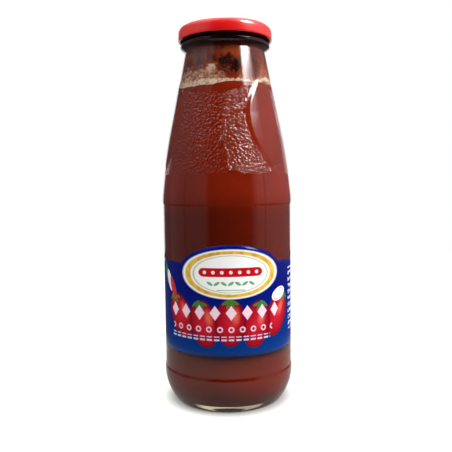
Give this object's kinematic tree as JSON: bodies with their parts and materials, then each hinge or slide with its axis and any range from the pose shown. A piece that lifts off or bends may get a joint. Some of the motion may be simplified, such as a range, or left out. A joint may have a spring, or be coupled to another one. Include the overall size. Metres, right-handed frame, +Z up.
{
  "type": "passata bottle",
  "caption": "Glass twist-off bottle of tomato passata with a conical shoulder, a red steel lid and a blue wrap-around paper label.",
  "frame": {"origin": "centre of the foot, on the surface the bottle stands on", "axes": "+Z up through the lid, the front of the label faces -Y"},
  "size_m": [0.079, 0.079, 0.2255],
  "materials": {
    "bottle_glass": "clear, glossy",
    "tomato_passata": "wet tomato pulp, matte behind glass",
    "lid_lacquer": "gloss red lacquer",
    "label_paper": "satin printed paper"
  },
  "bodies": {
    "root": {"bottle": "bottle_glass", "passata": "tomato_passata", "lid": "lid_lacquer", "label": "label_paper"}
  },
  "joints": []
}
